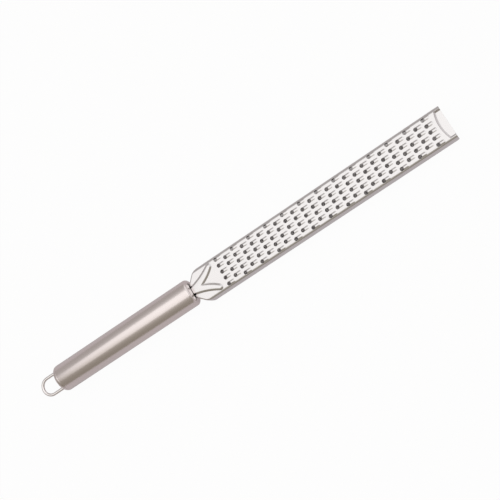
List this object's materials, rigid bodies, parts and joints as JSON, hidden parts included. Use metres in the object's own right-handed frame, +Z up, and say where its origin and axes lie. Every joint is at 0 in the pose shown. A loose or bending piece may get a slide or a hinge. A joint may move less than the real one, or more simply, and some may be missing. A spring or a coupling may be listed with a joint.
{
  "type": "rasp zester",
  "caption": "Hand rasp for zest and hard cheese: a narrow pressed steel channel with raised teeth, a round tube handle and a wire hanging loop.",
  "frame": {"origin": "on the tube's axis, in the middle of the handle, where a hand or gripper holds the tool", "axes": "+X along the tool to the blade's tip, +Z up on the toothed side, +Y to the left looking at the tip"},
  "size_m": [0.343, 0.025, 0.02],
  "materials": {
    "blade_steel": "polished stainless sheet, faintly satin",
    "handle_steel": "fine satin grain round the tube",
    "wire_steel": "bright drawn wire",
    "plug_plastic": "moulded black nylon"
  },
  "bodies": {
    "root": {"grater_blade": "blade_steel", "handle_tube": "handle_steel", "front_plug": "plug_plastic", "rear_cap": "handle_steel", "hanging_loop": "wire_steel"}
  },
  "joints": []
}
